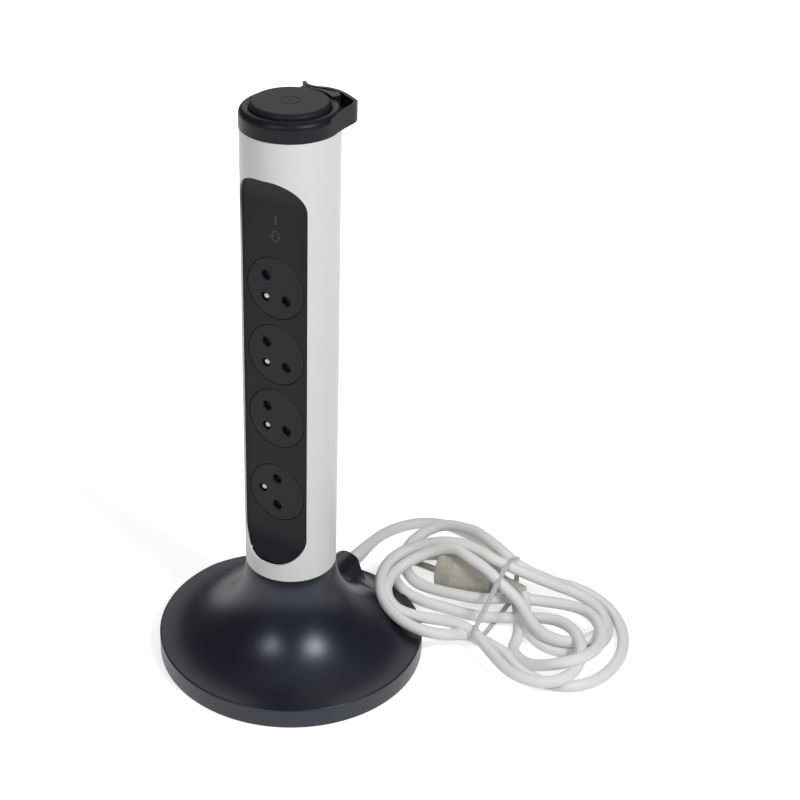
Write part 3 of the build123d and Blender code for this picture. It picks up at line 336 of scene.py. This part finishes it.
def swept_sleeve(name, line, length, thick, thin, material):
    """Sweeps a round section along the first stretch of a line, thick at its start and thin at its end."""
    tree = bpy.data.node_groups.new(name, "GeometryNodeTree")
    tree.interface.new_socket("Geometry", in_out="INPUT", socket_type="NodeSocketGeometry")
    tree.interface.new_socket("Geometry", in_out="OUTPUT", socket_type="NodeSocketGeometry")
    sizes = []
    for label, value in (("Length", length), ("Start radius", thick), ("End radius", thin)):
        socket = tree.interface.new_socket(label, in_out="INPUT", socket_type="NodeSocketFloat")
        socket.default_value = value
        sizes.append((socket.identifier, value))
    start = tree.nodes.new("NodeGroupInput")
    end = tree.nodes.new("NodeGroupOutput")
    cut = tree.nodes.new("GeometryNodeTrimCurve")
    cut.mode = "LENGTH"
    even = tree.nodes.new("GeometryNodeResampleCurve")
    even.inputs["Count"].default_value = sleeve_rings
    along = tree.nodes.new("GeometryNodeSplineParameter")
    taper = tree.nodes.new("ShaderNodeMapRange")
    taper.interpolation_type = "SMOOTHSTEP"
    section = tree.nodes.new("GeometryNodeCurvePrimitiveCircle")
    section.inputs["Resolution"].default_value = sleeve_sides
    section.inputs["Radius"].default_value = 1.0
    sweep = tree.nodes.new("GeometryNodeCurveToMesh")
    sweep.inputs["Fill Caps"].default_value = True
    smooth = tree.nodes.new("GeometryNodeSetShadeSmooth")
    real = tree.nodes.new("GeometryNodeRealizeInstances")
    finish = tree.nodes.new("GeometryNodeSetMaterial")
    finish.inputs["Material"].default_value = material
    tree.links.new(start.outputs["Geometry"], cut.inputs["Curve"])
    for socket in cut.inputs:
        if socket.name == "End" and socket.enabled:
            tree.links.new(start.outputs["Length"], socket)
    tree.links.new(cut.outputs["Curve"], even.inputs["Curve"])
    tree.links.new(even.outputs["Curve"], sweep.inputs["Curve"])
    tree.links.new(along.outputs["Factor"], taper.inputs["Value"])
    tree.links.new(start.outputs["Start radius"], taper.inputs["To Min"])
    tree.links.new(start.outputs["End radius"], taper.inputs["To Max"])
    tree.links.new(taper.outputs["Result"], sweep.inputs["Scale"])
    tree.links.new(section.outputs["Curve"], sweep.inputs["Profile Curve"])
    tree.links.new(sweep.outputs["Mesh"], smooth.inputs["Geometry"])
    tree.links.new(smooth.outputs["Geometry"], real.inputs["Geometry"])
    tree.links.new(real.outputs["Geometry"], finish.inputs["Geometry"])
    tree.links.new(finish.outputs["Geometry"], end.inputs["Geometry"])
    path = line.data.copy()
    path.bevel_depth = 0.0
    maker = bpy.data.objects.new(name + "_maker", path)
    bpy.context.scene.collection.objects.link(maker)
    modifier = maker.modifiers.new("sweep", "NODES")
    modifier.node_group = tree
    for identifier, value in sizes:
        modifier[identifier] = value
    made = bpy.data.meshes.new_from_object(maker.evaluated_get(bpy.context.evaluated_depsgraph_get()))
    bpy.data.objects.remove(maker)
    made.name = name
    piece = bpy.data.objects.new(name, made)
    bpy.context.scene.collection.objects.link(piece)
    return piece


sleeve = swept_sleeve("lead_sleeve", lead, sleeve_length, sleeve_thick, sleeve_thin, jacket)
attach(sleeve, "tower")

# Plug and tie
# A moulded round plug lies on its side under the loops; its boot tapers onto the lead.
# A clear plastic strap goes once round the waist of the hank.
plug_finish = moulded("plug_plastic", colour=(0.50, 0.48, 0.41), roughness=0.34, grain=0.0030, depth=0.35,
                      mottle=0.10, coat=0.6)
dress(plug_finish, "plug_body", "plug_boot")
clear_strap = moulded("tie_clear", colour=(0.70, 0.71, 0.74), roughness=0.25, grain=0.0010, depth=0.10,
                      mottle=0.03, coat=0.4)
strap_clearness = 0.25
strap_refraction = 1.45
strap_shader = clear_strap.node_tree.nodes["Principled BSDF"]
strap_shader.inputs["Transmission Weight"].default_value = strap_clearness
strap_shader.inputs["IOR"].default_value = strap_refraction
tie_middle = Vector((0.1025, 0.090, 0.0))
tie_turn = math.radians(-4.0)
tie_width = 0.0034
tie_thickness = 0.0008
tie_reach = 0.040
tie_clearance = 0.0009
tie_shoulder_share = 0.6
tie_flat_share = 0.35
strand_sides = 20
strap_crease = 40


def strap_outline(line, middle, turn, reach, strand):
    """The tight line round all the strands that cross the tie's upright plane near its middle."""
    path = line.data.copy()
    path.bevel_depth = 0.0
    reader = bpy.data.objects.new("line_reader", path)
    bpy.context.scene.collection.objects.link(reader)
    mesh = bpy.data.meshes.new_from_object(reader.evaluated_get(bpy.context.evaluated_depsgraph_get()))
    bpy.data.objects.remove(reader)
    along = Vector((math.cos(turn), -math.sin(turn), 0))
    across = Vector((math.sin(turn), math.cos(turn), 0))
    places = [vertex.co.copy() for vertex in mesh.vertices]
    bpy.data.meshes.remove(mesh)
    crossings = []
    for one, two in zip(places, places[1:]):
        before = (one - middle).dot(along)
        after = (two - middle).dot(along)
        if before * after <= 0 and before != after:
            crossing = one + (two - one) * (before / (before - after))
            offset = (crossing - middle).dot(across)
            if abs(offset) < reach:
                crossings.append((offset, crossing.z))
    spots = []
    for offset, height in crossings:
        for step in range(strand_sides):
            angle = 2 * math.pi * step / strand_sides
            level = max(tie_clearance, height + strand * math.sin(angle))
            spots.append((offset + strand * math.cos(angle), level))
    spots = sorted(set(spots))

    def half_hull(points):
        """One side of the tight outline, over points sorted across the tie."""
        kept = []
        for spot in points:
            while len(kept) > 1 and ((kept[-1][0] - kept[-2][0]) * (spot[1] - kept[-2][1])
                                     - (kept[-1][1] - kept[-2][1]) * (spot[0] - kept[-2][0])) <= 0:
                kept.pop()
            kept.append(spot)
        return kept

    hull = half_hull(spots)[:-1] + half_hull(spots[::-1])[:-1]
    return hull, along, across


def strap_piece(name, hull, along, across, middle, width, thickness, material):
    """A flat strap of even width round the outline, rounded on its outer edges."""
    count = len(hull)
    points = []
    faces = []
    shoulder = thickness * tie_shoulder_share
    flat = width * tie_flat_share
    section = [(-width / 2, 0.0), (-width / 2, shoulder), (-flat, thickness),
               (flat, thickness), (width / 2, shoulder), (width / 2, 0.0)]
    for step in range(count):
        before = hull[step - 1]
        after = hull[(step + 1) % count]
        run = math.hypot(after[0] - before[0], after[1] - before[1]) or 1.0
        out = ((after[1] - before[1]) / run, -(after[0] - before[0]) / run)
        for side, lift_off in section:
            offset = hull[step][0] + out[0] * lift_off
            height = hull[step][1] + out[1] * lift_off
            points.append(middle + along * side + across * offset + Vector((0, 0, height - middle.z)))
    size = len(section)
    for step in range(count):
        ahead = (step + 1) % count
        for corner in range(size):
            beside = (corner + 1) % size
            faces.append((step * size + corner, ahead * size + corner,
                          ahead * size + beside, step * size + beside))
    mesh = bpy.data.meshes.new(name)
    mesh.from_pydata(points, [], faces)
    shape = bmesh.new()
    shape.from_mesh(mesh)
    bmesh.ops.recalc_face_normals(shape, faces=shape.faces)
    shape.to_mesh(mesh)
    shape.free()
    mesh.shade_smooth()
    mesh.set_sharp_from_angle(angle=math.radians(strap_crease))
    mesh.materials.append(material)
    piece = bpy.data.objects.new(name, mesh)
    bpy.context.scene.collection.objects.link(piece)
    return piece


tie_outline, tie_along, tie_across = strap_outline(lead, tie_middle, tie_turn, tie_reach, lead_diameter / 2)
tie = strap_piece("hank_tie", tie_outline, tie_along, tie_across, tie_middle, tie_width, tie_thickness,
                  clear_strap)
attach(tie, "tower")
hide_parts("cord_tie")


tarnish = 0.86
least_roughness = 0.05
duller = 0.1
shinier = 0.08
scratch_detail = 3.0
scratch_strength = 0.08
scratch_depth = 0.0002


def metal(name, colour, roughness, scale=900.0):
    """A drawn or stamped metal, faintly clouded in colour and shine."""
    material = bpy.data.materials.new(name)
    material.use_nodes = True
    tree = material.node_tree
    shader = tree.nodes["Principled BSDF"]
    shader.inputs["Metallic"].default_value = 1.0
    place = tree.nodes.new("ShaderNodeTexCoord")
    lines = tree.nodes.new("ShaderNodeTexNoise")
    lines.inputs["Scale"].default_value = scale
    lines.inputs["Detail"].default_value = scratch_detail
    tree.links.new(place.outputs["Object"], lines.inputs["Vector"])
    tint = tree.nodes.new("ShaderNodeValToRGB")
    tint.color_ramp.elements[0].color = [part * tarnish for part in colour] + [1]
    tint.color_ramp.elements[1].color = list(colour) + [1]
    tree.links.new(lines.outputs["Fac"], tint.inputs["Fac"])
    tree.links.new(tint.outputs["Color"], shader.inputs["Base Color"])
    shine = tree.nodes.new("ShaderNodeMapRange")
    shine.inputs["To Min"].default_value = max(least_roughness, roughness - shinier)
    shine.inputs["To Max"].default_value = roughness + duller
    tree.links.new(lines.outputs["Fac"], shine.inputs["Value"])
    tree.links.new(shine.outputs["Result"], shader.inputs["Roughness"])
    bump = tree.nodes.new("ShaderNodeBump")
    bump.inputs["Strength"].default_value = scratch_strength
    bump.inputs["Distance"].default_value = scratch_depth
    tree.links.new(lines.outputs["Fac"], bump.inputs["Height"])
    tree.links.new(bump.outputs["Normal"], shader.inputs["Normal"])
    return material


pin_metal = metal("pin_nickel", colour=(0.50, 0.48, 0.43), roughness=0.32)
dress(pin_metal, "plug_pins")

# Foot
# One dark moulding of 169 mm that flares from the column to a low rim, which falls toward the back.
# There a half-round spout for the lead stands in a dish that rises toward the column.
# All sizes are in millimetres, and heights are above the table.
foot_radius = 84.6
foot_edge = 83.6
foot_top = 69.0
foot_low = 0.8
foot_wall = 2.4
neck_radius = 28.4
rim_round = 0.8
dish_middle = 60.0
dish_half_width = 35.0
dish_half_length = 30.5
dish_squareness = 4
dish_level = 20.4
dish_fall = 0.16
dish_rise = 0.85
dish_knee = 54.0
dish_wall = 0.55
dish_round = 3.0
spout_radius = 10.8
spout_axis = 18.6
spout_mouth = 70.0
spout_blend = 9.0
spout_turn = 0.92 * spout_radius
scoop_half_angle = 71.0
scoop_drop = 7.2
scoop_start = 60.0


def flare_height(radius):
    """Quarter arc from the column's side out to the flat land of the rim."""
    run = foot_edge - neck_radius
    return foot_top - math.sqrt(max(0.0, run ** 2 - (foot_edge - min(radius, foot_edge)) ** 2))


def soft_most(first, second, width):
    """The higher of two heights, rounded where they meet."""
    near = max(width - abs(first - second), 0.0) / width
    return max(first, second) + near * near * width / 4


def scoop_depth(x, y):
    """How far the sector at the back lies below the flare: nothing at its edges, most at the rim."""
    from_rear = abs(math.degrees(math.atan2(x, y)))
    inward = max(0.0, 1 - from_rear / scoop_half_angle)
    out = min(1.0, max(0.0, (math.hypot(x, y) - scoop_start) / (foot_edge - scoop_start)))
    return scoop_drop * inward * out * out * (3 - 2 * out)


def spout_height(x):
    """Half-round top of the spout; its sides run on down in a slope."""
    beside = min(abs(x), spout_turn)
    top = spout_axis + math.sqrt(spout_radius ** 2 - beside ** 2)
    return top - (abs(x) - beside) * spout_turn / math.sqrt(spout_radius ** 2 - spout_turn ** 2)


def foot_height(x, y, with_spout):
    """Height of the foot's outer face above the table."""
    radius = math.hypot(x, y)
    height = flare_height(radius) - scoop_depth(x, y)
    if y > 0:
        reach = (abs(x) / dish_half_width) ** dish_squareness
        reach += (abs(y - dish_middle) / dish_half_length) ** dish_squareness
        if reach < 1:
            share = min(1.0, (1 - reach) / dish_wall)
            level = dish_level - dish_fall * max(0.0, y - dish_knee) + dish_rise * max(0.0, dish_knee - y)
            height -= soft_most(0.0, height - level, dish_round) * share * (2 - share)
        if with_spout:
            height = soft_most(height, spout_height(x), spout_blend)
    return height


# The skin is laid out in rings round the column, finer near the spout and at its steep mouth.
behind = 90.0
spout_sector = 14
dish_sector = 42
spout_angle_step = 0.5
dish_angle_step = 1.0
plain_angle_step = 2.5
tiny_angle = 1e-6
flare_start = 0.15
flare_step = 0.9
flare_rings = 46
mouth_lead = 0.4
mouth_fall = 0.04
land_start = 1.1
land_step = 1.25
land_rings = 10
rim_steps = 4
hollow_step = 4.3
hollow_rings = 13
hollow_low = 2.0
hollow_wall = 1.6 * foot_wall
hollow_reach = (0.97, 1.0, 1.03)
neck_floor = 55.0
foot_crease = 32


def ring_of_angles():
    """Angles round the foot, close together at the back where the spout is."""
    angles = []
    angle = behind - 180.0
    while angle < behind + 180.0 - tiny_angle:
        angles.append(math.radians(angle))
        away = abs(angle - behind)
        if away < spout_sector:
            angle += spout_angle_step
        elif away < dish_sector:
            angle += dish_angle_step
        else:
            angle += plain_angle_step
    return angles


foot_angles = ring_of_angles()


def foot_ring(radius, height_at):
    """Points of one ring round the foot, each at the height that height_at gives for its place."""
    ring = []
    for angle in foot_angles:
        x = radius * math.cos(angle)
        y = radius * math.sin(angle)
        ring.append((x, y, height_at(x, y)))
    return ring


def rim_ring(rounding):
    """Points of one ring on the rounded edge; rounding runs from 0 on top to 90 degrees at the side."""
    radius = foot_radius - rim_round + rim_round * math.sin(rounding)
    ring = []
    for angle in foot_angles:
        top = foot_height(foot_edge * math.cos(angle), foot_edge * math.sin(angle), False)
        ring.append((radius * math.cos(angle), radius * math.sin(angle),
                     top - rim_round + rim_round * math.cos(rounding)))
    return ring


def hollow_height(x, y):
    """Height of the foot's inner face, a wall below the lowest outer face nearby."""
    lower = min(foot_height(x * share, y * share, False) for share in hollow_reach)
    return max(foot_low + hollow_low, lower - hollow_wall)


flare_radii = [neck_radius + flare_start + step * flare_step for step in range(flare_rings)]
mouth_radii = [spout_mouth - mouth_lead, spout_mouth, spout_mouth + mouth_fall]
land_radii = [spout_mouth + land_start + step * land_step for step in range(land_rings)] + [foot_edge]
hollow_radii = [foot_radius - foot_wall - step * hollow_step for step in range(hollow_rings)]
foot_points = []
for radius in flare_radii + mouth_radii + land_radii:
    foot_points += foot_ring(radius, lambda x, y: foot_height(x, y, radius <= spout_mouth))
for step in range(1, rim_steps + 1):
    foot_points += rim_ring(math.radians(90 * step / rim_steps))
for radius in (foot_radius, foot_radius - foot_wall):
    foot_points += foot_ring(radius, lambda x, y: foot_low)
for radius in hollow_radii:
    foot_points += foot_ring(radius, hollow_height)
for height in (neck_floor, foot_top):
    foot_points += foot_ring(neck_radius - foot_wall, lambda x, y: height)
per_ring = len(foot_angles)
rings = len(foot_points) // per_ring
foot_faces = []
for ring in range(rings):
    beyond = (ring + 1) % rings
    for step in range(per_ring):
        ahead = (step + 1) % per_ring
        foot_faces.append((ring * per_ring + step, beyond * per_ring + step,
                           beyond * per_ring + ahead, ring * per_ring + ahead))
foot_mesh = bpy.data.meshes.new("foot_skin")
foot_mesh.from_pydata([(x / 1000, y / 1000, z / 1000) for x, y, z in foot_points], [], foot_faces)
foot_mesh.validate()
foot_mesh.shade_smooth()
foot_mesh.set_sharp_from_angle(angle=math.radians(foot_crease))
foot = bpy.data.objects.new("foot_skin", foot_mesh)
bpy.context.scene.collection.objects.link(foot)
foot_finish = moulded("foot_plastic", colour=(0.0085, 0.0088, 0.0165), roughness=0.33, grain=0.0004,
                      depth=0.08, mottle=0.05, specular=0.62)
foot_sheen = (0.84, 0.91, 1.0, 1)
foot_finish.node_tree.nodes["Principled BSDF"].inputs["Specular Tint"].default_value = foot_sheen
foot_mesh.materials.append(foot_finish)
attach(foot, "tower")
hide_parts("base_shell")

# Floor plate, ballast and feet
# A flat plate closes the foot from below over an iron weight; rubber pads keep it from sliding.
# The lead is held by a screwed clamp and passes the wall in a rubber bush.
plate_plastic = moulded("foot_plate_plastic", colour=(0.03, 0.03, 0.032), roughness=0.55)
dress(plate_plastic, "base_plate", "cord_clamp")
cast_iron = metal("ballast_iron", colour=(0.20, 0.19, 0.18), roughness=0.6, scale=200.0)
dress(cast_iron, "ballast_ring")
rubber = moulded("dark_rubber", colour=(0.012, 0.012, 0.012), roughness=0.6, grain=0.0006, depth=0.15,
                 specular=0.3)
dress(rubber, "rubber_feet", "cable_gland")
screw_steel = metal("screw_steel", colour=(0.60, 0.60, 0.58), roughness=0.3)
dress(screw_steel, "base_screws", "clamp_screws", "cover_screws", "panel_screws", "column_screws",
      "head_screws")

# Column
# A white tube of 57 mm, injection moulded with a smooth low gloss, with a long rounded window.
# It drops over the collar of the foot and is screwed from below.
column_finish = moulded("white_plastic", colour=(0.78, 0.78, 0.765), roughness=0.34, grain=0.0005, depth=0.03,
                        mottle=0.008, specular=0.4)
dress(column_finish, "column_shell")

# Socket panel
# A dark matt insert, set back in the window and screwed from behind, carries the four sockets.
# Above them are a slit for the lamp and a small printed sign for surge protection.
panel_finish = moulded("panel_plastic", colour=(0.0130, 0.0126, 0.0172), roughness=0.50, grain=0.0003,
                       depth=0.10, specular=0.20)
dress(panel_finish, "socket_panel")
smoked = moulded("guide_smoked", colour=(0.006, 0.006, 0.007), roughness=0.3, depth=0.03)
dress(smoked, "light_guide")

sign_face = -15.6
sign_middle = 296.6
sign_half_width = 2.3
sign_half_height = 3.1
sign_line = 0.55
sign_square = 1.7
sign_proud = 0.04
sign_root = 0.01
sign_ring_parts = 36
sign_gap = (60, 80)


def printed_sign(name, material):
    """A thin ring with a short gap and three small squares on it, printed on the panel's face."""
    points = []
    faces = []

    def plate(corners):
        """A flat patch of ink with these four corners."""
        first = len(points)
        for x, z in corners:
            points.append((x / 1000, (sign_face - sign_proud) / 1000, z / 1000))
        for x, z in corners:
            points.append((x / 1000, (sign_face + sign_root) / 1000, z / 1000))
        faces.append((first, first + 1, first + 2, first + 3))
        faces.append((first + 7, first + 6, first + 5, first + 4))
        for side in range(4):
            ahead = (side + 1) % 4
            faces.append((first + side, first + 4 + side, first + 4 + ahead, first + ahead))

    out_x = sign_half_width + sign_line / 2
    out_z = sign_half_height + sign_line / 2
    in_x = sign_half_width - sign_line / 2
    in_z = sign_half_height - sign_line / 2
    for step in range(sign_ring_parts):
        start = 2 * math.pi * step / sign_ring_parts
        end = 2 * math.pi * (step + 1) / sign_ring_parts
        if math.radians(sign_gap[0]) < (start + end) / 2 < math.radians(sign_gap[1]):
            continue
        plate([(in_x * math.cos(start), sign_middle + in_z * math.sin(start)),
               (out_x * math.cos(start), sign_middle + out_z * math.sin(start)),
               (out_x * math.cos(end), sign_middle + out_z * math.sin(end)),
               (in_x * math.cos(end), sign_middle + in_z * math.sin(end))])
    half = sign_square / 2
    left = (-sign_half_width, sign_middle)
    right = (sign_half_width, sign_middle)
    bottom = (0.0, sign_middle - sign_half_height)
    for x, z in (left, right, bottom):
        plate([(x - half, z - half), (x + half, z - half), (x + half, z + half), (x - half, z + half)])
    mesh = bpy.data.meshes.new(name)
    mesh.from_pydata(points, [], faces)
    mesh.materials.append(material)
    piece = bpy.data.objects.new(name, mesh)
    bpy.context.scene.collection.objects.link(piece)
    return piece


sign_ink = moulded("sign_ink", colour=(0.058, 0.058, 0.068), roughness=0.5, depth=0.03)
sign = printed_sign("surge_sign", sign_ink)
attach(sign, "tower")

# Sockets
# Four round faces of the same dark plastic fill the panel's bores and spring forward to push a plug out.
# Each has two shuttered holes and a recess round a fixed nickel earth pin, and a wound spring behind it.
# The discs are the panel's plastic. Their colour is set a little lighter than the panel's, which is painted
# light.
disc_painted_light_finish = moulded("disc_plastic", colour=(0.0150, 0.0145, 0.0200), roughness=0.48, grain=0.0003,
                      depth=0.10, specular=0.22)
# The shutters are coloured near-black so that the socket holes look dark: this is painted shade in the holes.
shutter_painted_shade_finish = moulded("shutter_plastic_painted_shade", colour=(0.006, 0.006, 0.007), roughness=0.5, specular=0.2)
spring_steel = metal("spring_steel", colour=(0.62, 0.62, 0.62), roughness=0.25)
weld_distance = 1e-6


def sprung(name, node):
    """A spring wound as its solid is, welded into one smooth piece of spring steel and fixed to the tower."""
    mesh = nodes[node].data.copy()
    mesh.name = name
    wire = bmesh.new()
    wire.from_mesh(mesh)
    bmesh.ops.remove_doubles(wire, verts=wire.verts, dist=weld_distance)
    wire.to_mesh(mesh)
    wire.free()
    mesh.shade_smooth()
    mesh.materials.clear()
    mesh.materials.append(spring_steel)
    spring = bpy.data.objects.new(name, mesh)
    bpy.context.scene.collection.objects.link(spring)
    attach(spring, "tower")
    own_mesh(spring)
    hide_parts(node)


for number in (1, 2, 3, 4):
    dress(disc_painted_light_finish, f"socket_disc_{number}")
    dress(shutter_painted_shade_finish, f"shutter_{number}")
    dress(pin_metal, f"earth_pin_{number}")
    sprung(f"face_spring_{number}", f"disc_spring_{number}")

# Inside of the column
# Grey mouldings carry stamped brass bars and the surge board; sleeved wires join them to the lead.
# None of it is seen from outside, except through the holes.
inner = moulded("inner_plastic", colour=(0.06, 0.06, 0.06), roughness=0.5)
dress(inner, "disc_back_1", "disc_back_2", "disc_back_3", "disc_back_4", "contact_carrier", "carrier_cover",
      "head_plate", "switch_body")
brass = metal("contact_brass", colour=(0.78, 0.60, 0.28), roughness=0.28)
dress(brass, "live_bar", "neutral_bar", "earth_bar")
laminate = moulded("board_laminate", colour=(0.03, 0.16, 0.07), roughness=0.35, mottle=0.12)
dress(laminate, "surge_board")
varistor_coat = moulded("varistor_coat", colour=(0.03, 0.11, 0.36), roughness=0.3, coat=0.5)
dress(varistor_coat, "varistors")
wire_sleeve = moulded("wire_sleeve", colour=(0.22, 0.13, 0.06), roughness=0.4)
dress(wire_sleeve, "core_wires")
lamp_clear = moulded("lamp_clear", colour=(0.85, 0.85, 0.85), roughness=0.12, depth=0.02, coat=0.5)
lamp_clearness = 0.7
lamp_clear.node_tree.nodes["Principled BSDF"].inputs["Transmission Weight"].default_value = lamp_clearness
dress(lamp_clear, "indicator_lamp")

# Head ring and power button
# A dark satin ring closes the column's top and carries the hook for the lead, moulded in one with it.
# The round button fills the ring and moves down on its spring; its sign is a shallow groove.
ring_finish = moulded("ring_plastic", colour=(0.0085, 0.0085, 0.0125), roughness=0.40, grain=0.0003,
                      depth=0.10, specular=0.22)
dress(ring_finish, "head_ring")
button_finish = moulded("button_plastic", colour=(0.0150, 0.0150, 0.0175), roughness=0.46, grain=0.0003,
                        depth=0.10, specular=0.14)
dress(button_finish, "power_button")
plunger = moulded("plunger_plastic", colour=(0.65, 0.65, 0.62), roughness=0.4)
dress(plunger, "switch_plunger")
sprung("press_spring", "button_spring")
